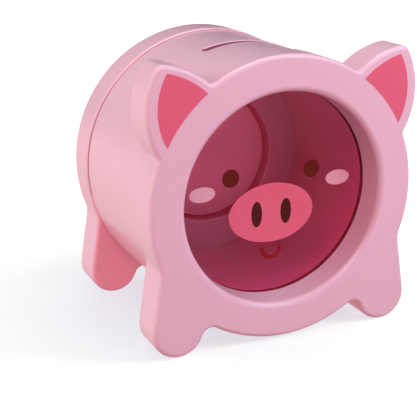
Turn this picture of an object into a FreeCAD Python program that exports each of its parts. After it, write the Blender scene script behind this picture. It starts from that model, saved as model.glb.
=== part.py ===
"""Pig money box: a bored drum between two plates with legs, a window in front and a stopper behind.

Millimetres. X is to the right seen from the front, Y runs from front to back, Z is up.
The origin is on the ground under the middle of the box. Outlines are drawn in the (x, z) plane,
with z counted from the axis of the drum.
"""
import FreeCAD, Part
import math
import os

Vector = FreeCAD.Vector

# Drum
BORE_RADIUS = 45.0
DRUM_WALL = 14.4
DRUM_LENGTH = 61.0
SLOT_LENGTH = 36.0
SLOT_WIDTH = 4.6
SLOT_FORWARD = 5.0
SLOT_EDGE_ROUND = 0.6

# Plates
PLATE_THICKNESS = 18.0
PLATE_OVERHANG = 0.9
EDGE_ROUND = 2.0
WINDOW_EDGE_ROUND = 2.6
BELLY_CLEARANCE = 1.0

# Ears, with angles counted up from the horizontal at the axis
EAR_REACH = 21.5
EAR_TIP_ANGLE = 47.4
EAR_INNER_ANGLE = 56.9
EAR_OUTER_ANGLE = 22.3
EAR_TOP_BOW = 37.0
EAR_SIDE_BOW = 34.5
EAR_TIP_ROUND = 4.0
EAR_INNER_NOTCH = 3.0
EAR_OUTER_NOTCH = 2.0

# Printed inner ears
EAR_PRINT_RIM = 1.1
EAR_PRINT_TIP_INSET = 4.8
EAR_PRINT_INNER_ANGLE = 53.5
EAR_PRINT_OUTER_ANGLE = 27.8
EAR_PRINT_TOP_BOW = 36.0
EAR_PRINT_SIDE_BOW = 29.0

# Legs, with angles counted down from the horizontal, and the flare from the vertical
FOOT_RADIUS = 11.4
FOOT_ANGLE = 45.9
LEG_FLARE = 9.0
LEG_INNER_NOTCH = 4.2
LEG_OUTER_NOTCH = 10.0

# Window pane and the face printed on its front
PANE_THICKNESS = 4.0
PANE_LIP = 3.3
PANE_CLEARANCE = 0.2
INK_THICKNESS = 0.12
EYE_RADIUS = 3.9
EYE_OFFSET = 19.0
EYE_HEIGHT = 8.0
CHEEK_HALF_WIDTH = 5.8
CHEEK_HALF_HEIGHT = 3.3
CHEEK_RIM_GAP = 7.3
CHEEK_HEIGHT = 2.6
SNOUT_HALF_WIDTH = 19.9
SNOUT_HALF_HEIGHT = 13.0
SNOUT_HEIGHT = -9.2
NOSTRIL_HALF_WIDTH = 2.5
NOSTRIL_HALF_HEIGHT = 5.6
NOSTRIL_OFFSET = 6.9
SMILE_RADIUS = 4.2
SMILE_STROKE = 1.7
SMILE_GAP = 2.8

# Dowels, with angles counted up from the horizontal at the axis
DOWEL_RADIUS = 3.0
DOWEL_BITE = 10.0
DOWEL_SIDE_CLEARANCE = 0.05
DOWEL_END_CLEARANCE = 0.5
PLATE_DOWEL_ANGLES = (0.0, 180.0)
RING_DOWEL_ANGLES = (45.0, 225.0)

# Emptying hole and stopper
HOLE_RADIUS = 31.5
HOLE_EDGE_ROUND = 0.8
STOPPER_INSET = 4.5
STOPPER_CLEARANCE = 0.5
STOPPER_TAPER = 0.5
STOPPER_WALL = 1.8
STOPPER_FLOOR = 2.0
STOPPER_END_ROUND = 0.8
BEAD_CLEARANCE = 0.3
BEAD_LENGTH = 1.6
BEAD_FROM_SEAT = 5.5
FLANGE_LIP = 4.0
FLANGE_THICKNESS = 2.6
FLANGE_SINK = 0.4
FLANGE_CLEARANCE = 0.5
FLANGE_EDGE_ROUND = 0.8
GRIP_THICKNESS = 4.0
GRIP_SINK = 1.5
GRIP_ROUND = 1.2

# Sizes that follow from the ones above
DRUM_RADIUS = BORE_RADIUS + DRUM_WALL
DISC_RADIUS = DRUM_RADIUS + PLATE_OVERHANG
AXIS_HEIGHT = DISC_RADIUS + BELLY_CLEARANCE
RING_NAMES = ("front_ring", "slot_ring", "rear_ring")
RING_LENGTH = DRUM_LENGTH / len(RING_NAMES)
PANE_RADIUS = BORE_RADIUS + PANE_LIP
DOWEL_PITCH = (PANE_RADIUS + PANE_CLEARANCE + DRUM_RADIUS) / 2
COUNTERBORE_DEPTH = FLANGE_THICKNESS + FLANGE_SINK
STOPPER_RADIUS = HOLE_RADIUS - STOPPER_CLEARANCE
STOPPER_END_RADIUS = STOPPER_RADIUS - STOPPER_TAPER
FLANGE_RADIUS = HOLE_RADIUS + FLANGE_LIP

# Stations from front to back
FRONT_Y = -(2 * PLATE_THICKNESS + DRUM_LENGTH) / 2
DRUM_FRONT_Y = FRONT_Y + PLATE_THICKNESS
DRUM_REAR_Y = DRUM_FRONT_Y + DRUM_LENGTH
REAR_Y = DRUM_REAR_Y + PLATE_THICKNESS
PANE_FRONT_Y = DRUM_FRONT_Y - PANE_THICKNESS
STOPPER_SEAT_Y = REAR_Y - COUNTERBORE_DEPTH
STOPPER_END_Y = DRUM_REAR_Y + STOPPER_INSET
FLANGE_BACK_Y = STOPPER_SEAT_Y + FLANGE_THICKNESS

BACKWARDS = Vector(0, 1, 0)
AXIS = (0.0, 0.0)
NEAR = 1e-4


def polar(radius, degrees):
    """Point at a radius and an angle about the axis."""
    angle = math.radians(degrees)
    return (radius * math.cos(angle), radius * math.sin(angle))


def towards(start, target, distance):
    """Point at a distance from start in the direction of target."""
    dx, dz = target[0] - start[0], target[1] - start[1]
    share = distance / math.hypot(dx, dz)
    return (start[0] + dx * share, start[1] + dz * share)


def meet(first, first_radius, second, second_radius, side):
    """Crossing of two circles, to the left (side 1) or right (side -1) of the way from first to second."""
    dx, dz = second[0] - first[0], second[1] - first[1]
    gap = math.hypot(dx, dz)
    along = (first_radius ** 2 - second_radius ** 2 + gap ** 2) / (2 * gap)
    across = side * math.sqrt(first_radius ** 2 - along ** 2)
    return (first[0] + (along * dx - across * dz) / gap, first[1] + (along * dz + across * dx) / gap)


def place(point, y):
    """Outline point in space, at a station y."""
    return Vector(point[0], y, AXIS_HEIGHT + point[1])


def line(start, end, y):
    """Straight edge between two outline points."""
    return Part.makeLine(place(start, y), place(end, y))


def arc(centre, start, end, turn, y):
    """Round edge about a centre, anticlockwise for turn 1 and clockwise for turn -1."""
    first = math.atan2(start[1] - centre[1], start[0] - centre[0])
    last = math.atan2(end[1] - centre[1], end[0] - centre[0])
    sweep = turn * ((turn * (last - first)) % (2 * math.pi))
    middle = first + sweep / 2
    radius = math.dist(centre, start)
    half_way = (centre[0] + radius * math.cos(middle), centre[1] + radius * math.sin(middle))
    return Part.Arc(place(start, y), place(half_way, y), place(end, y)).toShape()


def disc(radius, y, length):
    """Cylinder about the axis, from station y backwards."""
    return Part.makeCylinder(radius, length, place(AXIS, y), BACKWARDS)


def raised(edges, thickness):
    """Solid raised backwards from the edges of a closed outline."""
    return Part.Face(Part.Wire(Part.sortEdges(edges)[0])).extrude(BACKWARDS * thickness)


def mirrored(shape):
    """The same shape on the other side of the middle plane."""
    return shape.mirror(Vector(0, 0, 0), Vector(1, 0, 0))


def edges_at(shape, y):
    """Edges that lie flat at a station y."""
    return [edge for edge in shape.Edges
            if abs(edge.BoundBox.YMin - y) < NEAR and abs(edge.BoundBox.YMax - y) < NEAR]


def round_edges_at(shape, y, radius):
    """Edges at a station y whose arcs have a given radius."""
    return [edge for edge in edges_at(shape, y)
            if hasattr(edge.Curve, "Radius") and abs(edge.Curve.Radius - radius) < NEAR]


# Plate outline

def leg_edges(y):
    """Right leg from the belly to the flank, with the two points where it meets the disc."""
    foot_z = FOOT_RADIUS - AXIS_HEIGHT
    foot = (-foot_z / math.tan(math.radians(FOOT_ANGLE)), foot_z)
    inner = meet(AXIS, DISC_RADIUS + LEG_INNER_NOTCH, foot, FOOT_RADIUS + LEG_INNER_NOTCH, -1)
    belly = towards(AXIS, inner, DISC_RADIUS)
    foot_start = towards(foot, inner, FOOT_RADIUS)

    normal = polar(1.0, LEG_FLARE)
    foot_end = (foot[0] + FOOT_RADIUS * normal[0], foot[1] + FOOT_RADIUS * normal[1])
    reach = foot_end[0] * normal[0] + foot_end[1] * normal[1] + LEG_OUTER_NOTCH
    drop = math.sqrt((DISC_RADIUS + LEG_OUTER_NOTCH) ** 2 - reach ** 2)
    outer = (reach * normal[0] + drop * normal[1], reach * normal[1] - drop * normal[0])
    side_end = (outer[0] - LEG_OUTER_NOTCH * normal[0], outer[1] - LEG_OUTER_NOTCH * normal[1])
    flank = towards(AXIS, outer, DISC_RADIUS)

    edges = [
        arc(inner, belly, foot_start, -1, y),
        arc(foot, foot_start, foot_end, 1, y),
        line(foot_end, side_end, y),
        arc(outer, side_end, flank, -1, y),
    ]
    return edges, belly, flank


def ear_edges(y):
    """Right ear from the temple to the crown, with the two points where it meets the disc."""
    tip = polar(DISC_RADIUS + EAR_REACH, EAR_TIP_ANGLE)
    side = meet(polar(DISC_RADIUS, EAR_OUTER_ANGLE), EAR_SIDE_BOW, tip, EAR_SIDE_BOW, 1)
    top = meet(tip, EAR_TOP_BOW, polar(DISC_RADIUS, EAR_INNER_ANGLE), EAR_TOP_BOW, 1)
    outer = meet(AXIS, DISC_RADIUS + EAR_OUTER_NOTCH, side, EAR_SIDE_BOW + EAR_OUTER_NOTCH, -1)
    inner = meet(AXIS, DISC_RADIUS + EAR_INNER_NOTCH, top, EAR_TOP_BOW + EAR_INNER_NOTCH, 1)
    rounding = meet(side, EAR_SIDE_BOW - EAR_TIP_ROUND, top, EAR_TOP_BOW - EAR_TIP_ROUND, 1)

    temple = towards(AXIS, outer, DISC_RADIUS)
    side_start = towards(side, outer, EAR_SIDE_BOW)
    side_end = towards(side, rounding, EAR_SIDE_BOW)
    top_start = towards(top, rounding, EAR_TOP_BOW)
    top_end = towards(top, inner, EAR_TOP_BOW)
    crown = towards(AXIS, inner, DISC_RADIUS)

    edges = [
        arc(outer, temple, side_start, -1, y),
        arc(side, side_start, side_end, 1, y),
        arc(rounding, side_end, top_start, 1, y),
        arc(top, top_start, top_end, 1, y),
        arc(inner, top_end, crown, -1, y),
    ]
    return edges, temple, crown


def plate_blank(y, with_ears):
    """Plate with legs, and ears if wanted, rounded along both rims and not yet bored."""
    bottom, top = (0.0, -DISC_RADIUS), (0.0, DISC_RADIUS)
    leg, belly, flank = leg_edges(y)
    half = [arc(AXIS, bottom, belly, 1, y)] + leg
    if with_ears:
        ear, temple, crown = ear_edges(y)
        half += [arc(AXIS, flank, temple, 1, y)] + ear + [arc(AXIS, crown, top, 1, y)]
    else:
        half += [arc(AXIS, flank, top, 1, y)]
    blank = raised(half + [mirrored(edge) for edge in half], PLATE_THICKNESS)
    return blank.makeFillet(EDGE_ROUND, edges_at(blank, y) + edges_at(blank, y + PLATE_THICKNESS))


# Dowels

def dowels(angles, start_y, end_y, side_clearance=0.0, end_clearance=0.0):
    """Dowels at the given angles between two stations, or with clearances the holes for them."""
    pins = []
    for angle in angles:
        centre = place(polar(DOWEL_PITCH, angle), start_y - end_clearance)
        length = end_y - start_y + 2 * end_clearance
        pins.append(Part.makeCylinder(DOWEL_RADIUS + side_clearance, length, centre, BACKWARDS))
    return Part.makeCompound(pins)


def dowel_groups():
    """Angles and end stations of each group of dowels, by node name."""
    front_joint, rear_joint = DRUM_FRONT_Y, DRUM_REAR_Y
    middle_start = DRUM_FRONT_Y + RING_LENGTH
    middle_end = DRUM_REAR_Y - RING_LENGTH
    return {
        "front_dowels": (PLATE_DOWEL_ANGLES, front_joint - DOWEL_BITE, front_joint + DOWEL_BITE),
        "ring_dowels": (RING_DOWEL_ANGLES, middle_start - DOWEL_BITE, middle_end + DOWEL_BITE),
        "rear_dowels": (PLATE_DOWEL_ANGLES, rear_joint - DOWEL_BITE, rear_joint + DOWEL_BITE),
    }


def drilled(shape):
    """The shape with the holes of every dowel that reaches into it."""
    for angles, start_y, end_y in dowel_groups().values():
        shape = shape.cut(dowels(angles, start_y, end_y, DOWEL_SIDE_CLEARANCE, DOWEL_END_CLEARANCE))
    return shape


# Wooden pieces

def front_plate():
    """Head with ears and front legs, bored for the window and rebated behind for the pane."""
    plate = plate_blank(FRONT_Y, with_ears=True)
    plate = plate.cut(disc(BORE_RADIUS, FRONT_Y, PLATE_THICKNESS))
    plate = plate.makeFillet(WINDOW_EDGE_ROUND, round_edges_at(plate, FRONT_Y, BORE_RADIUS))
    plate = plate.cut(disc(PANE_RADIUS + PANE_CLEARANCE, PANE_FRONT_Y, PANE_THICKNESS))
    return drilled(plate)


def back_plate():
    """Back disc with rear legs, bored and counterbored for the stopper."""
    plate = plate_blank(DRUM_REAR_Y, with_ears=False)
    counterbore_radius = FLANGE_RADIUS + FLANGE_CLEARANCE
    plate = plate.cut(disc(HOLE_RADIUS, DRUM_REAR_Y, PLATE_THICKNESS))
    plate = plate.cut(disc(counterbore_radius, STOPPER_SEAT_Y, COUNTERBORE_DEPTH))
    rims = round_edges_at(plate, DRUM_REAR_Y, HOLE_RADIUS) + round_edges_at(plate, REAR_Y, counterbore_radius)
    return drilled(plate.makeFillet(HOLE_EDGE_ROUND, rims))


def ring(index):
    """One ring of the drum, counted from the front."""
    start_y = DRUM_FRONT_Y + index * RING_LENGTH
    blank = disc(DRUM_RADIUS, start_y, RING_LENGTH).cut(disc(BORE_RADIUS, start_y, RING_LENGTH))
    return drilled(blank)


def coin_slot():
    """Round-ended slot through the top of the drum, a little forward of its middle."""
    middle_y = (DRUM_FRONT_Y + DRUM_REAR_Y) / 2 - SLOT_FORWARD
    half_width = SLOT_WIDTH / 2
    half_straight = SLOT_LENGTH / 2 - half_width
    cutter = Part.makeBox(2 * half_straight, SLOT_WIDTH, DISC_RADIUS,
                          Vector(-half_straight, middle_y - half_width, AXIS_HEIGHT))
    for x in (-half_straight, half_straight):
        cutter = cutter.fuse(Part.makeCylinder(half_width, DISC_RADIUS, Vector(x, middle_y, AXIS_HEIGHT)))
    return cutter.removeSplitter()


def slot_ring():
    """Middle ring of the drum, with the coin slot and its eased outer lips."""
    slotted = ring(RING_NAMES.index("slot_ring")).cut(coin_slot())
    rim_z = AXIS_HEIGHT + math.sqrt(DRUM_RADIUS ** 2 - (SLOT_LENGTH / 2) ** 2)
    lips = [edge for edge in slotted.Edges
            if edge.BoundBox.YLength <= SLOT_WIDTH + NEAR and edge.BoundBox.ZMin > rim_z - NEAR]
    return slotted.makeFillet(SLOT_EDGE_ROUND, lips)


# Window and prints

def window_pane():
    """Clear disc in the rebate of the front plate."""
    return disc(PANE_RADIUS, PANE_FRONT_Y, PANE_THICKNESS)


def ink(edges, layer=1):
    """Film of ink on the front of the pane, the first layer or one over it."""
    film = raised(edges, INK_THICKNESS)
    film.translate(BACKWARDS * (PANE_FRONT_Y - layer * INK_THICKNESS))
    return film


def ellipse(x, z, half_width, half_height):
    """Closed ellipse on the station y 0, as a list of one edge."""
    centre = place((x, z), 0)
    across, upright = Vector(half_width, 0, 0), Vector(0, 0, half_height)
    longer, shorter = (across, upright) if half_width >= half_height else (upright, across)
    return [Part.Ellipse(centre + longer, centre + shorter, centre).toShape()]


def circle(x, z, radius):
    """Closed circle on the station y 0, as a list of one edge."""
    return [Part.makeCircle(radius, place((x, z), 0), BACKWARDS)]


def smile_edges():
    """Half ring with round ends, hanging under the snout."""
    centre_z = SNOUT_HEIGHT - SNOUT_HALF_HEIGHT - SMILE_GAP
    centre = (0.0, centre_z)
    inside, outside = SMILE_RADIUS - SMILE_STROKE / 2, SMILE_RADIUS + SMILE_STROKE / 2
    return [
        arc(centre, (-outside, centre_z), (outside, centre_z), 1, 0),
        arc((SMILE_RADIUS, centre_z), (outside, centre_z), (inside, centre_z), 1, 0),
        arc(centre, (inside, centre_z), (-inside, centre_z), -1, 0),
        arc((-SMILE_RADIUS, centre_z), (-inside, centre_z), (-outside, centre_z), 1, 0),
    ]


def right_ear_paint():
    """Printed patch inside the right ear, with its lower side along the rim of the disc."""
    rim = DISC_RADIUS - EAR_PRINT_RIM
    tip = polar(DISC_RADIUS + EAR_REACH - EAR_PRINT_TIP_INSET, EAR_TIP_ANGLE)
    outer = polar(rim, EAR_PRINT_OUTER_ANGLE)
    inner = polar(rim, EAR_PRINT_INNER_ANGLE)
    side = meet(outer, EAR_PRINT_SIDE_BOW, tip, EAR_PRINT_SIDE_BOW, 1)
    top = meet(tip, EAR_PRINT_TOP_BOW, inner, EAR_PRINT_TOP_BOW, 1)
    start_y = FRONT_Y - INK_THICKNESS
    return raised([
        arc(side, outer, tip, 1, start_y),
        arc(top, tip, inner, 1, start_y),
        arc(AXIS, inner, outer, -1, start_y),
    ], INK_THICKNESS)


def prints():
    """Every printed film, by node name."""
    cheek_x = BORE_RADIUS - CHEEK_RIM_GAP - CHEEK_HALF_WIDTH
    nodes = {
        "snout_print": ink(ellipse(0, SNOUT_HEIGHT, SNOUT_HALF_WIDTH, SNOUT_HALF_HEIGHT)),
        "smile_print": ink(smile_edges()),
    }
    right_side = {
        "eye_print": ink(circle(EYE_OFFSET, EYE_HEIGHT, EYE_RADIUS)),
        "cheek_print": ink(ellipse(cheek_x, CHEEK_HEIGHT, CHEEK_HALF_WIDTH, CHEEK_HALF_HEIGHT)),
        "nostril_print": ink(ellipse(NOSTRIL_OFFSET, SNOUT_HEIGHT, NOSTRIL_HALF_WIDTH, NOSTRIL_HALF_HEIGHT),
                             layer=2),
        "ear_paint": right_ear_paint(),
    }
    for name, film in right_side.items():
        nodes["right_" + name] = film
        nodes["left_" + name] = mirrored(film)
    return nodes


# Stopper

def chain(points):
    """Straight edges from each point to the next."""
    return [Part.makeLine(start, end) for start, end in zip(points, points[1:])]


def stopper_profile():
    """Half section of the stopper: a cup with a flange behind and a bead round its skirt, in (radius, y)."""
    slope = STOPPER_TAPER / (STOPPER_SEAT_Y - STOPPER_END_Y)
    cup_floor = STOPPER_END_Y + STOPPER_FLOOR
    bead_y = STOPPER_SEAT_Y - BEAD_FROM_SEAT
    bead_start, bead_end = bead_y - BEAD_LENGTH / 2, bead_y + BEAD_LENGTH / 2

    def spot(radius, y):
        return Vector(radius, y, AXIS_HEIGHT)

    def on_skirt(y):
        return spot(STOPPER_RADIUS - slope * (STOPPER_SEAT_Y - y), y)

    inside = [spot(0, STOPPER_END_Y), on_skirt(STOPPER_END_Y), on_skirt(bead_start)]
    outside = [
        on_skirt(bead_end),
        on_skirt(STOPPER_SEAT_Y),
        spot(FLANGE_RADIUS, STOPPER_SEAT_Y),
        spot(FLANGE_RADIUS, FLANGE_BACK_Y),
        spot(STOPPER_RADIUS - STOPPER_WALL, FLANGE_BACK_Y),
        spot(STOPPER_END_RADIUS - STOPPER_WALL, cup_floor),
        spot(0, cup_floor),
    ]
    bead_top = spot(HOLE_RADIUS - BEAD_CLEARANCE, bead_y)
    bead = Part.Arc(inside[-1], bead_top, outside[0]).toShape()
    return Part.Face(Part.Wire(chain(inside) + [bead] + chain(outside + inside[:1])))


def emptying_stopper():
    """Soft stopper with a bar across its cup to pull it by."""
    cup = stopper_profile().revolve(place(AXIS, 0), BACKWARDS, 360)
    cup = cup.makeFillet(STOPPER_END_ROUND, round_edges_at(cup, STOPPER_END_Y, STOPPER_END_RADIUS))
    cup = cup.makeFillet(FLANGE_EDGE_ROUND, round_edges_at(cup, FLANGE_BACK_Y, FLANGE_RADIUS))
    grip_start = STOPPER_END_Y + STOPPER_FLOOR / 2
    grip_end = REAR_Y - GRIP_SINK
    half_span = STOPPER_RADIUS - STOPPER_WALL / 2
    grip = Part.makeBox(2 * half_span, grip_end - grip_start, GRIP_THICKNESS,
                        Vector(-half_span, grip_start, AXIS_HEIGHT - GRIP_THICKNESS / 2))
    long_edges = [edge for edge in edges_at(grip, grip_end) if edge.BoundBox.XLength > half_span]
    grip = grip.makeFillet(GRIP_ROUND, long_edges)
    envelope = disc(half_span - STOPPER_TAPER, grip_start, grip_end - grip_start)
    return cup.fuse(grip.common(envelope)).removeSplitter()


def main():
    """Build every piece and write one file for each."""
    nodes = {"front_plate": front_plate(), "window_pane": window_pane(), "back_plate": back_plate()}
    nodes.update(prints())
    nodes["front_ring"] = ring(RING_NAMES.index("front_ring"))
    nodes["slot_ring"] = slot_ring()
    nodes["rear_ring"] = ring(RING_NAMES.index("rear_ring"))
    for name, (angles, start_y, end_y) in dowel_groups().items():
        nodes[name] = dowels(angles, start_y, end_y)
    nodes["emptying_stopper"] = emptying_stopper()

    os.makedirs("parts", exist_ok=True)
    for name, shape in nodes.items():
        shape.exportStep(f"parts/{name}.step")
        print(f"{name}: {len(shape.Solids)} solid(s), {shape.Volume / 1000:.3f} cm3, valid {shape.isValid()}")


main()
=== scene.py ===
"""Looks of a pig-shaped wooden money box.

Satin pink lacquer over boards and rings, printed ears, a face printed on a clear window pane, and a soft
stopper in the back. Metres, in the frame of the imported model: the face looks along -Y, and Z is up.
"""

import logging
import math
from dataclasses import dataclass, field
from enum import Enum

import bpy
from mathutils import Matrix, Vector


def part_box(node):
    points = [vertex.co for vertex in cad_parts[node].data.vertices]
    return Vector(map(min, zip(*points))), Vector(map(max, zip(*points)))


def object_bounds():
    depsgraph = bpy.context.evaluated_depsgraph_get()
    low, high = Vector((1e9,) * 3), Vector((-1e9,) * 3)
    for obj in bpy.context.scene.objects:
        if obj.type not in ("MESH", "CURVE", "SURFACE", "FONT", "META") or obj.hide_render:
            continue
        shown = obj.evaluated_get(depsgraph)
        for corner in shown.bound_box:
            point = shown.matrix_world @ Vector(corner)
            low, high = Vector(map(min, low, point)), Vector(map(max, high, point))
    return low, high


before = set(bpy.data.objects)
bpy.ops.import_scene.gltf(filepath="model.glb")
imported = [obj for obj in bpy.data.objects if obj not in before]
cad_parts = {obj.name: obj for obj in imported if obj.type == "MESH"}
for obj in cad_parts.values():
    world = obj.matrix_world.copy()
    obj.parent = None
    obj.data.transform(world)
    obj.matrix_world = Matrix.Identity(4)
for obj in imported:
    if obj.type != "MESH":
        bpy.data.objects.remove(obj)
CAD_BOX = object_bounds()

MM = 0.001
UNIT = (0.0, 1.0)
NOISE_SPREAD = (0.3, 0.7)

Colour = tuple[float, float, float]
Corner = tuple[float, float, float]
Span = tuple[float, float]
Value = bpy.types.NodeSocket | float | Colour | Vector

log = logging.getLogger("money_box")


def srgb(red: int, green: int, blue: int) -> Colour:
    """Linear colour of three screen values.

    Args:
        red: Red on the screen, 0 to 255.
        green: Green on the screen, 0 to 255.
        blue: Blue on the screen, 0 to 255.

    Returns:
        The same colour as linear light.
    """
    def linear(value: int) -> float:
        """One channel as linear light."""
        share = value / 255
        return share / 12.92 if share <= 0.04045 else ((share + 0.055) / 1.055) ** 2.4

    return linear(red), linear(green), linear(blue)


# Wiring of shader nodes

class Wiring:
    """Adds and joins the nodes of one shader tree."""

    def __init__(self, tree: bpy.types.NodeTree) -> None:
        """Take an empty tree to fill.

        Args:
            tree: Node tree of a material, a world or a node group.
        """
        self.tree = tree

    def add(self, kind: str, values: dict[str, Value] | None = None) -> bpy.types.Node:
        """Add a node and set or link its inputs.

        Args:
            kind: Blender's name of the node type.
            values: For each input's name, a plain value or the socket that feeds it.

        Returns:
            The new node.
        """
        node = self.tree.nodes.new(kind)
        for name, value in (values or {}).items():
            self.feed(node.inputs[name], value)
        return node

    def feed(self, socket: bpy.types.NodeSocket, value: Value) -> None:
        """Link a socket to another one, or set its plain value.

        Args:
            socket: Input socket.
            value: Output socket that feeds it, or a number, colour or vector.
        """
        if isinstance(value, bpy.types.NodeSocket):
            self.tree.links.new(value, socket)
        elif socket.type == "RGBA":
            socket.default_value = (*value, 1.0)
        else:
            socket.default_value = value

    def noise(self, place: bpy.types.NodeSocket, grain: float, detail: float = 2.0) -> bpy.types.NodeSocket:
        """Soft noise.

        Args:
            place: Coordinates in metres.
            grain: Size of the noise's spots, in metres.
            detail: Octaves of finer noise.

        Returns:
            Socket of a value of about 0.3 to 0.7.
        """
        node = self.add("ShaderNodeTexNoise", {"Vector": place, "Scale": 1 / grain, "Detail": detail})
        return node.outputs["Fac"]

    def remap(self, value: bpy.types.NodeSocket, source: Span, target: Span = UNIT) -> bpy.types.NodeSocket:
        """Clamp a value to one range and stretch it to another.

        Args:
            value: Socket to read.
            source: Range that is read.
            target: Range that is put out.

        Returns:
            Socket of the stretched value.
        """
        (source_low, source_high), (target_low, target_high) = source, target
        node = self.add("ShaderNodeMapRange", {
            "Value": value, "From Min": source_low, "From Max": source_high,
            "To Min": target_low, "To Max": target_high})
        return node.outputs["Result"]

    def blend(self, share: Value, first: Value, second: Value) -> bpy.types.NodeSocket:
        """Blend two colours.

        Args:
            share: Share of the second colour.
            first: Colour at share 0.
            second: Colour at share 1.

        Returns:
            Socket of the blended colour.
        """
        node = self.tree.nodes.new("ShaderNodeMix")
        node.data_type = "RGBA"
        start, end = [socket for socket in node.inputs if socket.type == "RGBA"]
        self.feed(node.inputs["Factor"], share)
        self.feed(start, first)
        self.feed(end, second)
        return next(socket for socket in node.outputs if socket.type == "RGBA")

    def mix(self, share: Value, first: bpy.types.NodeSocket, second: bpy.types.NodeSocket) -> bpy.types.NodeSocket:
        """Mix two shaders.

        Args:
            share: Share of the second shader.
            first: Shader at share 0.
            second: Shader at share 1.

        Returns:
            Socket of the mixed shader.
        """
        node = self.add("ShaderNodeMixShader", {"Fac": share})
        start, end = [socket for socket in node.inputs if socket.type == "SHADER"]
        self.feed(start, first)
        self.feed(end, second)
        return node.outputs["Shader"]

    def math(self, operation: str, *values: Value) -> bpy.types.NodeSocket:
        """Result of a sum on one to three values.

        Args:
            operation: Blender's name of the operation.
            values: What it works on, in order.

        Returns:
            Socket of the result.
        """
        node = self.tree.nodes.new("ShaderNodeMath")
        node.operation = operation
        for socket, value in zip(node.inputs, values):
            self.feed(socket, value)
        return node.outputs["Value"]

    def band(self, value: bpy.types.NodeSocket, low: float, high: float, edge: float) -> bpy.types.NodeSocket:
        """Mask of a range of a value.

        Args:
            value: Socket to read.
            low: Where the range begins.
            high: Where it ends.
            edge: Width over which the mask fades out on either side.

        Returns:
            Socket that is 1 in the range and 0 outside it.
        """
        rise = self.remap(value, (low - edge, low))
        return self.math("MULTIPLY", rise, self.remap(value, (high, high + edge), (1.0, 0.0)))

    def axes(self, place: bpy.types.NodeSocket) -> tuple[bpy.types.NodeSocket, ...]:
        """Sockets of the three parts of a vector.

        Args:
            place: Socket of the vector.

        Returns:
            Sockets of its x, y and z.
        """
        return tuple(self.add("ShaderNodeSeparateXYZ", {"Vector": place}).outputs)

    def place(self) -> bpy.types.NodeSocket:
        """Socket of the place on the object, in metres."""
        return self.add("ShaderNodeTexCoord").outputs["Object"]

    def bump(self, height: bpy.types.NodeSocket, depth: float) -> bpy.types.NodeSocket:
        """Normal of a surface with a relief.

        Args:
            height: Relief, 0 to 1.
            depth: Height of the relief in metres.

        Returns:
            Socket of the normal.
        """
        node = self.add("ShaderNodeBump", {"Height": height, "Strength": 1.0, "Distance": depth})
        return node.outputs["Normal"]


# Effects that several finishes share

class Effect(Enum):
    """Surface effects, each one node group."""

    FIBRES = "wood fibres"
    FILM = "flowed film"
    HANDLING = "handling marks"


@dataclass(frozen=True)
class FibreEffect:
    """Fibres of boards that lie along X, as they print through a coat of lacquer.

    Attributes:
        length: Length of a fibre along X.
        width: Width of a fibre across.
    """

    length: float = 14 * MM
    width: float = 0.35 * MM

    def fill(self, wiring: Wiring) -> dict[str, bpy.types.NodeSocket]:
        """Lay the nodes.

        Args:
            wiring: Tree of the group.

        Returns:
            Sockets to put out, by name.
        """
        stretch = wiring.add("ShaderNodeMapping", {
            "Vector": wiring.place(), "Scale": Vector((self.width / self.length, 1.0, 1.0))})
        return {"Fibres": wiring.noise(stretch.outputs["Vector"], self.width, detail=3.0)}


@dataclass(frozen=True)
class FilmEffect:
    """Sprayed or printed film that flowed out before it set.

    Attributes:
        ripple: Spacing of the film's fine ripple.
        cloud: Spacing of its slow changes of shade.
    """

    ripple: float = 0.9 * MM
    cloud: float = 24 * MM

    def fill(self, wiring: Wiring) -> dict[str, bpy.types.NodeSocket]:
        """Lay the nodes.

        Args:
            wiring: Tree of the group.

        Returns:
            Sockets to put out, by name.
        """
        place = wiring.place()
        cloud = wiring.remap(wiring.noise(place, self.cloud), NOISE_SPREAD)
        return {"Ripple": wiring.noise(place, self.ripple, detail=1.0), "Cloud": cloud}


@dataclass(frozen=True)
class HandlingEffect:
    """Faint marks of fingers and cloths, as a mask.

    Attributes:
        mark: Size of a mark.
        streak: Width of the wiping streaks in it.
        onset: Values of the noise between which a mark sets in.
        strength: Strength of a mark between its streaks and on them.
    """

    mark: float = 17 * MM
    streak: float = 1.6 * MM
    onset: Span = (0.5, 0.72)
    strength: Span = (0.4, 1.0)

    def fill(self, wiring: Wiring) -> dict[str, bpy.types.NodeSocket]:
        """Lay the nodes.

        Args:
            wiring: Tree of the group.

        Returns:
            Sockets to put out, by name.
        """
        place = wiring.place()
        marks = wiring.remap(wiring.noise(place, self.mark, detail=3.0), self.onset)
        streaks = wiring.remap(wiring.noise(place, self.streak), NOISE_SPREAD, self.strength)
        return {"Marks": wiring.math("MULTIPLY", marks, streaks)}


EFFECTS = {Effect.FIBRES: FibreEffect(), Effect.FILM: FilmEffect(), Effect.HANDLING: HandlingEffect()}


def effect(wiring: Wiring, kind: Effect) -> bpy.types.bpy_prop_collection:
    """Place an effect's group in a material, building the group the first time.

    Args:
        wiring: Tree of the material.
        kind: Which effect.

    Returns:
        The outputs of the placed group.
    """
    group = bpy.data.node_groups.get(kind.value)
    if group is None:
        group = bpy.data.node_groups.new(kind.value, "ShaderNodeTree")
        inside = Wiring(group)
        sockets = EFFECTS[kind].fill(inside)
        end = group.nodes.new("NodeGroupOutput")
        for name, socket in sockets.items():
            group.interface.new_socket(name, in_out="OUTPUT", socket_type="NodeSocketFloat")
            inside.feed(end.inputs[name], socket)
    node = wiring.tree.nodes.new("ShaderNodeGroup")
    node.node_tree = group
    return node.outputs


# Finishes

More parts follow.
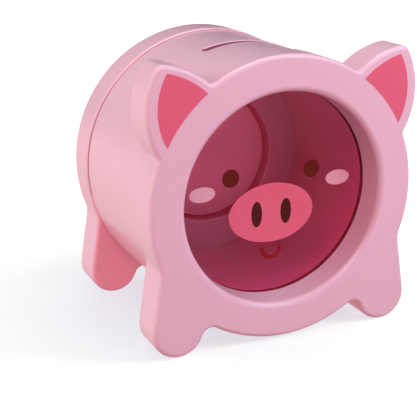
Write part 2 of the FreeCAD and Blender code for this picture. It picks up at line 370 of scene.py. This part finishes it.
def new_material(name: str) -> tuple[bpy.types.Material, Wiring]:
    """Start a material.

    Args:
        name: Name of the finish.

    Returns:
        The material with an empty tree, and the wiring to fill it.
    """
    material = bpy.data.materials.new(name)
    material.use_nodes = True
    material.node_tree.nodes.clear()
    return material, Wiring(material.node_tree)


def show(wiring: Wiring, shader: bpy.types.NodeSocket) -> None:
    """Send a shader to the material's output.

    Args:
        wiring: Tree of the material.
        shader: Socket of the finished shader.
    """
    wiring.add("ShaderNodeOutputMaterial", {"Surface": shader})


@dataclass(frozen=True)
class RoundZone:
    """Space between two radii about the drum's axis, which runs level from front to back.

    Attributes:
        axis_height: Height of the axis.
        inner: Radius where the space begins.
        outer: Radius where it ends.
        front: Where it begins, from front to back.
        back: Where it ends.
        edge: Width over which its mask fades out.
    """

    axis_height: float
    inner: float
    outer: float
    front: float
    back: float
    edge: float = 0.2 * MM

    def mask(self, wiring: Wiring) -> bpy.types.NodeSocket:
        """Lay nodes for a mask that is 1 in the space.

        Args:
            wiring: Tree of the material.

        Returns:
            Socket of the mask.
        """
        across, along, up = wiring.axes(wiring.place())
        rise = wiring.math("SUBTRACT", up, self.axis_height)
        spread = wiring.math("MULTIPLY", across, across)
        reach = wiring.math("SQRT", wiring.math("MULTIPLY_ADD", rise, rise, spread))
        ring = wiring.band(reach, self.inner, self.outer, self.edge)
        return wiring.math("MULTIPLY", ring, wiring.band(along, self.front, self.back, self.edge))


@dataclass(frozen=True)
class BoxZone:
    """Space between two corners.

    Attributes:
        low: Corner with the least values.
        high: Corner with the greatest values.
        edge: Width over which its mask fades out.
    """

    low: Corner
    high: Corner
    edge: float = 0.2 * MM

    def mask(self, wiring: Wiring) -> bpy.types.NodeSocket:
        """Lay nodes for a mask that is 1 in the space.

        Args:
            wiring: Tree of the material.

        Returns:
            Socket of the mask.
        """
        across, along, up = [wiring.band(axis, low, high, self.edge)
                             for axis, low, high in zip(wiring.axes(wiring.place()), self.low, self.high)]
        return wiring.math("MULTIPLY", wiring.math("MULTIPLY", across, along), up)


Zone = RoundZone | BoxZone


@dataclass(frozen=True)
class Lacquer:
    """Opaque coloured lacquer, sprayed over sanded wood, with painted shade: deeper colours in given places where
    shade falls.

    Attributes:
        name: Name of the finish.
        colour: Colour of the film.
        cloud_colour: Colour where the film is a little thicker.
        painted_shades: For each place of painted shade, its deeper colour. A later place covers an earlier one.
        roughness: Roughness of the clean film.
        marked_roughness: Roughness under finger marks.
        coat: Weight of the clear top coat.
        coat_roughness: Roughness of the top coat.
        fibre_depth: How deep the fibres print through.
        ripple_depth: Height of the ripple left by spraying.
    """

    name: str
    colour: Colour
    cloud_colour: Colour
    painted_shades: dict[Zone, Colour]
    roughness: float = 0.3
    marked_roughness: float = 0.36
    coat: float = 0.5
    coat_roughness: float = 0.1
    fibre_depth: float = 0.006 * MM
    ripple_depth: float = 0.008 * MM

    def material(self) -> bpy.types.Material:
        """Make the material."""
        material, wiring = new_material(self.name)
        film = effect(wiring, Effect.FILM)
        fibres = effect(wiring, Effect.FIBRES)
        marks = effect(wiring, Effect.HANDLING)
        relief = wiring.math("MULTIPLY_ADD", fibres["Fibres"], self.fibre_depth / self.ripple_depth, film["Ripple"])
        colour = wiring.blend(film["Cloud"], self.colour, self.cloud_colour)
        # Painted shade: deeper colours laid over the places where shade falls.
        for zone, shade_colour in self.painted_shades.items():
            colour = wiring.blend(zone.mask(wiring), colour, shade_colour)
        shader = wiring.add("ShaderNodeBsdfPrincipled", {
            "Base Color": colour,
            "Roughness": wiring.remap(marks["Marks"], UNIT, (self.roughness, self.marked_roughness)),
            "Coat Weight": self.coat,
            "Coat Roughness": self.coat_roughness,
            "Normal": wiring.bump(relief, self.ripple_depth)})
        show(wiring, shader.outputs["BSDF"])
        return material


@dataclass(frozen=True)
class Ink:
    """Opaque printing ink in one pass of a screen.

    Attributes:
        name: Name of the finish.
        colour: Colour of the ink.
        cloud_colour: Colour where the ink is a little thinner.
        roughness: Roughness of the dry ink.
        marked_roughness: Roughness under finger marks.
        gloss: Level of the ink's mirror reflection.
        ripple_depth: Height of the print's fine ripple.
    """

    name: str
    colour: Colour
    cloud_colour: Colour
    roughness: float = 0.38
    marked_roughness: float = 0.46
    gloss: float = 0.1
    ripple_depth: float = 0.006 * MM

    def material(self) -> bpy.types.Material:
        """Make the material."""
        material, wiring = new_material(self.name)
        film = effect(wiring, Effect.FILM)
        marks = effect(wiring, Effect.HANDLING)
        shader = wiring.add("ShaderNodeBsdfPrincipled", {
            "Base Color": wiring.blend(film["Cloud"], self.colour, self.cloud_colour),
            "Roughness": wiring.remap(marks["Marks"], UNIT, (self.roughness, self.marked_roughness)),
            "Specular IOR Level": self.gloss,
            "Normal": wiring.bump(film["Ripple"], self.ripple_depth)})
        show(wiring, shader.outputs["BSDF"])
        return material


@dataclass(frozen=True)
class ClearSheet:
    """Polished clear acrylic that lets lamps shine through.

    Attributes:
        name: Name of the finish.
        tint: Colour that passes.
        lamp_tint: Colour of the light that lamps send through.
        glare: Share of the usual mirror reflection that is left.
        ior: Index of refraction.
        roughness: Roughness of the polish.
        marked_roughness: Roughness under finger marks.
    """

    name: str
    tint: Colour
    lamp_tint: Colour
    glare: float = 0.04
    ior: float = 1.49
    roughness: float = 0.01
    marked_roughness: float = 0.035

    def material(self) -> bpy.types.Material:
        """Make the material."""
        material, wiring = new_material(self.name)
        marks = effect(wiring, Effect.HANDLING)
        sheet = wiring.add("ShaderNodeBsdfPrincipled", {
            "Base Color": self.tint,
            "Roughness": wiring.remap(marks["Marks"], UNIT, (self.roughness, self.marked_roughness)),
            "IOR": self.ior,
            "Specular Tint": (self.glare,) * 3,
            "Transmission Weight": 1.0})
        passing = wiring.add("ShaderNodeBsdfTransparent", {"Color": self.lamp_tint})
        lamps = wiring.add("ShaderNodeLightPath").outputs["Is Shadow Ray"]
        show(wiring, wiring.mix(lamps, sheet.outputs["BSDF"], passing.outputs["BSDF"]))
        return material


@dataclass(frozen=True)
class SoftPlastic:
    """Moulded soft plastic that glows a little when lit from behind.

    Attributes:
        name: Name of the finish.
        colour: Colour of the plastic.
        cloud_colour: Colour of its flow marks.
        glow: Share of light that passes into the plastic and comes out on the other side.
        roughness: Roughness of the moulded skin.
        marked_roughness: Roughness under finger marks.
        ripple_depth: Height of the mould's fine texture.
    """

    name: str
    colour: Colour
    cloud_colour: Colour
    glow: float = 0.35
    roughness: float = 0.42
    marked_roughness: float = 0.5
    ripple_depth: float = 0.012 * MM

    def material(self) -> bpy.types.Material:
        """Make the material."""
        material, wiring = new_material(self.name)
        film = effect(wiring, Effect.FILM)
        marks = effect(wiring, Effect.HANDLING)
        colour = wiring.blend(film["Cloud"], self.colour, self.cloud_colour)
        normal = wiring.bump(film["Ripple"], self.ripple_depth)
        skin = wiring.add("ShaderNodeBsdfPrincipled", {
            "Base Color": colour,
            "Roughness": wiring.remap(marks["Marks"], UNIT, (self.roughness, self.marked_roughness)),
            "Normal": normal})
        through = wiring.add("ShaderNodeBsdfTranslucent", {"Color": colour, "Normal": normal})
        show(wiring, wiring.mix(self.glow, skin.outputs["BSDF"], through.outputs["BSDF"]))
        return material


@dataclass(frozen=True)
class BareWood:
    """Turned beech with no finish.

    Attributes:
        name: Name of the finish.
        colour: Colour between the fibres.
        fibre_colour: Colour of the fibres.
        contrast: Values of the fibre noise between which the one colour passes into the other.
        roughness: Roughness of the wood.
        fibre_depth: Depth of the fibres.
    """

    name: str
    colour: Colour
    fibre_colour: Colour
    contrast: Span = (0.35, 0.65)
    roughness: float = 0.62
    fibre_depth: float = 0.04 * MM

    def material(self) -> bpy.types.Material:
        """Make the material."""
        material, wiring = new_material(self.name)
        fibres = effect(wiring, Effect.FIBRES)["Fibres"]
        shader = wiring.add("ShaderNodeBsdfPrincipled", {
            "Base Color": wiring.blend(wiring.remap(fibres, self.contrast), self.colour, self.fibre_colour),
            "Roughness": self.roughness,
            "Normal": wiring.bump(fibres, self.fibre_depth)})
        show(wiring, shader.outputs["BSDF"])
        return material


Finish = Lacquer | Ink | ClearSheet | SoftPlastic | BareWood

DRUM_FRONT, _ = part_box("front_ring")
_, DRUM_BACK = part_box("rear_ring")
BACK_LOW, BACK_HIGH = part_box("back_plate")
AXIS_HEIGHT = (DRUM_FRONT.z + DRUM_BACK.z) / 2
DRUM_RADIUS = DRUM_BACK.z - AXIS_HEIGHT
CHAMBER_RADIUS = 45.3 * MM
HOLE_DEPTH = 14.0 * MM
SLOT_HALF_LENGTH = 18.0 * MM
SLOT_FRONT = -7.3 * MM
SLOT_BACK = -2.7 * MM
SEAM_INSIDE = 1.5 * MM
SEAM_OUTSIDE = 0.9 * MM
SEAM_REACH = 0.5 * MM
LEG_REACH = 0.6 * MM
LEG_TOP = AXIS_HEIGHT - 12.0 * MM

# Painted shade: the inside of the chamber behind the window, back to the bottom of the stopper's hole, is painted
# darker and redder for the shade inside the box.
CHAMBER_SHADE = RoundZone(AXIS_HEIGHT, 0.0, CHAMBER_RADIUS, DRUM_FRONT.y, DRUM_BACK.y + HOLE_DEPTH)
# Painted shade: the walls of the coin slot are painted dark for the shade inside the slot.
SLOT_WALL_SHADE = BoxZone((-SLOT_HALF_LENGTH, SLOT_FRONT, AXIS_HEIGHT),
                     (SLOT_HALF_LENGTH, SLOT_BACK, AXIS_HEIGHT + DRUM_RADIUS))
# Painted shade: a dark line where the drum meets the back plate, for the shade in the groove between them.
BACK_SEAM_SHADE = RoundZone(AXIS_HEIGHT, DRUM_RADIUS - SEAM_INSIDE, DRUM_RADIUS + SEAM_OUTSIDE,
                      DRUM_BACK.y - SEAM_REACH / 2, DRUM_BACK.y + SEAM_REACH)
# Painted shade: the front face of the back plate low down, with its legs, is painted a deeper coral for the shaded
# space under the drum that only pink surfaces light.
REAR_LEG_FRONT_SHADE = BoxZone((BACK_LOW.x, BACK_LOW.y, BACK_LOW.z), (BACK_HIGH.x, BACK_LOW.y + LEG_REACH, LEG_TOP))

# Pink lacquer, with painted shade in deeper colours at the places above.
PINK_LACQUER = Lacquer("pink lacquer", (0.823, 0.463, 0.588), (0.813, 0.448, 0.573), {
    BACK_SEAM_SHADE: (0.62, 0.2, 0.28),
    REAR_LEG_FRONT_SHADE: (0.98, 0.38, 0.5),
    CHAMBER_SHADE: (0.74, 0.152, 0.315),
    SLOT_WALL_SHADE: (0.4, 0.1, 0.15)})
RED_INK = Ink("red ink", (0.77, 0.117, 0.2), (0.777, 0.127, 0.21))
DARK_INK = Ink("dark ink", srgb(76, 22, 20), srgb(82, 26, 24))
BROWN_INK = Ink("brown ink", srgb(98, 24, 18), srgb(103, 28, 22))
PALE_INK = Ink("pale ink", (0.825, 0.362, 0.442), (0.835, 0.377, 0.456))
SCARLET_INK = Ink("scarlet ink", srgb(135, 19, 21), srgb(144, 24, 26))
CLEAR_ACRYLIC = ClearSheet("clear acrylic", (0.98, 0.985, 0.985), (1.0, 0.4, 0.53))
STOPPER_PLASTIC = SoftPlastic("stopper plastic", (0.9, 0.315, 0.515), (0.88, 0.3, 0.495))
BEECH = BareWood("bare beech", srgb(222, 188, 146), srgb(200, 160, 118))


# Sub-assemblies

def dress(nodes: list[str], finish: Finish) -> None:
    """Give nodes one finish.

    Args:
        nodes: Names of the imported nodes.
        finish: Finish that they share.
    """
    material = bpy.data.materials.get(finish.name) or finish.material()
    for name in nodes:
        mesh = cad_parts[name].data
        mesh.materials.clear()
        mesh.materials.append(material)
        log.info("%s: %s", name, finish.name)


@dataclass
class Body:
    """Boards and rings that make the drum, the head and the legs, with the dowels inside."""

    boards: list[str] = field(default_factory=lambda: [
        "front_plate", "front_ring", "slot_ring", "rear_ring", "back_plate"])
    dowels: list[str] = field(default_factory=lambda: ["front_dowels", "ring_dowels", "rear_dowels"])
    ears: list[str] = field(default_factory=lambda: ["left_ear_paint", "right_ear_paint"])

    def dress(self) -> None:
        """Lacquer the boards and print the ears."""
        dress(self.boards, PINK_LACQUER)
        dress(self.ears, RED_INK)
        dress(self.dowels, BEECH)


@dataclass
class Face:
    """Clear pane of the window and the face printed on it."""

    pane: str = "window_pane"
    prints: dict[str, Ink] = field(default_factory=lambda: {
        "snout_print": RED_INK,
        "left_nostril_print": DARK_INK, "right_nostril_print": DARK_INK,
        "left_eye_print": BROWN_INK, "right_eye_print": BROWN_INK,
        "left_cheek_print": PALE_INK, "right_cheek_print": PALE_INK,
        "smile_print": SCARLET_INK})

    def dress(self) -> None:
        """Clear the pane and ink the prints."""
        dress([self.pane], CLEAR_ACRYLIC)
        for name, ink in self.prints.items():
            dress([name], ink)


@dataclass
class Stopper:
    """Stopper of the emptying hole."""

    node: str = "emptying_stopper"

    def dress(self) -> None:
        """Give the stopper its soft plastic."""
        dress([self.node], STOPPER_PLASTIC)


# Studio

class FloorLink(Enum):
    """Whether a lamp lights the floor and nothing else, or everything but the floor."""

    ONLY = "INCLUDE"
    NEVER = "EXCLUDE"


@dataclass(frozen=True)
class Softbox:
    """Square lamp.

    Attributes:
        name: Name of the lamp.
        place: Where it hangs.
        size: Width and height.
        power: Watts.
        colour: Colour of its light.
        mirrored: Whether glossy surfaces show its reflection.
        floor_link: What it lights.
    """

    name: str
    place: Vector
    size: float
    power: float
    colour: Colour
    mirrored: bool = True
    floor_link: FloorLink = FloorLink.NEVER

    def hang(self, aim: Vector, floor: bpy.types.Object) -> None:
        """Put the lamp in the scene.

        Args:
            aim: Point that it faces.
            floor: The floor, that it lights or leaves out.
        """
        lamp = bpy.data.lights.new(self.name, "AREA")
        lamp.size = self.size
        lamp.energy = self.power
        lamp.color = self.colour
        thing = bpy.data.objects.new(self.name, lamp)
        thing.location = self.place
        thing.rotation_euler = (aim - self.place).to_track_quat("-Z", "Y").to_euler()
        thing.visible_glossy = self.mirrored
        bpy.context.scene.collection.objects.link(thing)
        lit = bpy.data.collections.new(self.name + " light")
        lit.objects.link(floor)
        for member in lit.collection_objects:
            member.light_linking.link_state = self.floor_link.value
        thing.light_linking.receiver_collection = lit


@dataclass(frozen=True)
class PhotoCamera:
    """Camera at the photograph's place.

    Attributes:
        aim: Middle of the window in the front face.
        azimuth: Degrees round the object from straight ahead, to the right.
        elevation: Degrees above the window's middle.
        distance: Distance from the window's middle.
        pan: Degrees that the camera turns to the right of it.
        tilt: Degrees that the camera turns up from it.
        roll: Degrees that the camera leans.
        focal: Focal length in pixels of the frame.
        frame_width: Width of the frame in pixels.
        sensor: Width of the sensor in millimetres.
        clip_start: Nearest distance that is drawn.
    """

    aim: Vector
    azimuth: float = -28.509
    elevation: float = 17.347
    distance: float = 0.434185
    pan: float = -4.257
    tilt: float = -0.047
    roll: float = -0.249
    focal: float = 1056.321
    frame_width: float = 417.0
    sensor: float = 36.0
    clip_start: float = 0.01

    def build(self) -> bpy.types.Object:
        """Make the camera and return it."""
        data = bpy.data.cameras.new("photo camera")
        data.sensor_width = self.sensor
        data.lens = self.focal / self.frame_width * self.sensor
        data.clip_start = self.clip_start
        turn, rise = math.radians(self.azimuth), math.radians(self.elevation)
        back = Vector((math.sin(turn) * math.cos(rise), -math.cos(turn) * math.cos(rise), math.sin(rise)))
        side = (-back).cross(Vector((0, 0, 1))).normalized()
        over = side.cross(-back)
        ahead = -back + math.tan(math.radians(self.pan)) * side + math.tan(math.radians(self.tilt)) * over
        ahead.normalize()
        right = ahead.cross(Vector((0, 0, 1))).normalized()
        lean = Matrix.Rotation(math.radians(-self.roll), 3, ahead)
        right = lean @ right
        above = right.cross(ahead)
        camera = bpy.data.objects.new("photo camera", data)
        turned = Matrix((right, above, -ahead)).transposed().to_4x4()
        camera.matrix_world = Matrix.Translation(self.aim + back * self.distance) @ turned
        bpy.context.scene.collection.objects.link(camera)
        return camera


LAMPS = [
    Softbox("key", Vector((0.341, -0.341, 0.419)), 0.364, 1.72, (0.682, 0.931, 1.0), mirrored=False),
    Softbox("key shine", Vector((0.361, -0.361, 0.443)), 0.364, 0.9, (0.682, 0.931, 1.0)),
    Softbox("left", Vector((-1.0, 0.25, 0.5)), 0.8, 10.42, (0.673, 1.0, 0.848), mirrored=False),
    Softbox("top", Vector((0.1, 0.1, 1.25)), 0.8, 4.98, (0.99, 1.0, 0.981)),
    Softbox("top left", Vector((-0.7, -0.55, 1.0)), 0.7, 6.92, (1.0, 0.669, 0.681)),
    Softbox("front", Vector((0.25, -1.3, 0.45)), 0.8, 3.87, (0.78, 0.951, 1.0), mirrored=False),
    Softbox("back", Vector((0.3, 1.3, -0.3)), 0.8, 7.0, (1.0, 0.96, 0.98), mirrored=False),
    Softbox("floor side", Vector((1.0, -0.42, 0.55)), 0.6, 7.64, (1.0, 0.937, 0.719), floor_link=FloorLink.ONLY),
    Softbox("floor top", Vector((0.0, 0.0, 0.8)), 2.4, 10.18, (1.0, 0.649, 0.611), floor_link=FloorLink.ONLY),
]


@dataclass
class Studio:
    """Pale floor, soft light and the camera.

    Attributes:
        floor_half: Half the floor's width.
        floor_colour: Colour of the floor.
        floor_roughness: Roughness of the floor.
        near_glow: Light that the floor gives off by itself round the box.
        far_glow: The same far away, and the colour of the backdrop past the floor.
        glow_range: Distances from the box between which the one glow passes into the other.
        sky: Colour and strength of the even light from above.
        ground: Colour and strength of the even light from a little below the horizon.
        nadir: Colour and strength of the light from straight below.
        horizon: Heights between which the light from the ground passes into that from the sky.
        depths: The same between the light from straight below and that from the ground.
        bounces: How often light goes on from one surface to the next.
    """

    floor_half: float = 4.0
    floor_colour: Colour = (0.8, 0.8, 0.8)
    floor_roughness: float = 0.8
    near_glow: Colour = (0.355, 0.552, 0.581)
    far_glow: Colour = (1.0, 1.0, 1.0)
    glow_range: Span = (0.04, 0.22)
    sky: Colour = (0.0, 0.0, 0.0)
    ground: Colour = (0.85, 0.53, 0.55)
    nadir: Colour = (0.4, 0.19, 0.22)
    horizon: Span = (-0.1, 0.1)
    depths: Span = (-0.95, -0.4)
    bounces: int = 12

    def build(self) -> None:
        """Lay the floor, hang the lamps and place the camera."""
        floor = self.lay_floor()
        self.light_surroundings()
        low, high = CAD_BOX
        for lamp in LAMPS:
            lamp.hang((low + high) / 2, floor)
        pane_low, pane_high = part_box("window_pane")
        plate_low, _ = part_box("front_plate")
        aim = Vector((0.0, plate_low.y, (pane_low.z + pane_high.z) / 2))
        scene = bpy.context.scene
        scene.camera = PhotoCamera(aim).build()
        scene.view_settings.view_transform = "Standard"
        scene.cycles.max_bounces = 2 * self.bounces
        scene.cycles.diffuse_bounces = self.bounces
        scene.cycles.transmission_bounces = self.bounces

    def lay_floor(self) -> bpy.types.Object:
        """Make the floor under the feet, that shows but sends no light to the box.

        Returns:
            The floor.
        """
        half = self.floor_half
        mesh = bpy.data.meshes.new("floor")
        mesh.from_pydata([(-half, -half, 0), (half, -half, 0), (half, half, 0), (-half, half, 0)], [], [(0, 1, 2, 3)])
        material, wiring = new_material("pale floor")
        reach = wiring.add("ShaderNodeVectorMath", {"Vector": wiring.place()})
        reach.operation = "LENGTH"
        away = wiring.remap(reach.outputs["Value"], self.glow_range)
        shader = wiring.add("ShaderNodeBsdfPrincipled", {
            "Base Color": self.floor_colour,
            "Roughness": self.floor_roughness,
            "Specular IOR Level": 0.0,
            "Emission Color": wiring.blend(away, self.near_glow, self.far_glow),
            "Emission Strength": 1.0})
        show(wiring, shader.outputs["BSDF"])
        mesh.materials.append(material)
        floor = bpy.data.objects.new("floor", mesh)
        floor.visible_diffuse = floor.visible_glossy = floor.visible_shadow = False
        bpy.context.scene.collection.objects.link(floor)
        return floor

    def light_surroundings(self) -> None:
        """Set the even light from all round, and the pale backdrop that shows past the floor."""
        world = bpy.data.worlds.new("studio")
        bpy.context.scene.world = world
        world.use_nodes = True
        world.node_tree.nodes.clear()
        wiring = Wiring(world.node_tree)
        _, _, up = wiring.axes(wiring.add("ShaderNodeTexCoord").outputs["Generated"])
        below = wiring.blend(wiring.remap(up, self.depths), self.nadir, self.ground)
        colour = wiring.blend(wiring.remap(up, self.horizon), below, self.sky)
        light = wiring.add("ShaderNodeBackground", {"Color": colour, "Strength": 1.0})
        backdrop = wiring.add("ShaderNodeBackground", {"Color": self.far_glow, "Strength": 1.0})
        seen = wiring.add("ShaderNodeLightPath").outputs["Is Camera Ray"]
        shown = wiring.mix(seen, light.outputs["Background"], backdrop.outputs["Background"])
        wiring.add("ShaderNodeOutputWorld", {"Surface": shown})


def main() -> None:
    """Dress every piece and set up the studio."""
    logging.basicConfig(level=logging.INFO, format="%(name)s %(message)s")
    for part in (Body(), Face(), Stopper()):
        part.dress()
    Studio().build()


if __name__ == "__main__":
    main()
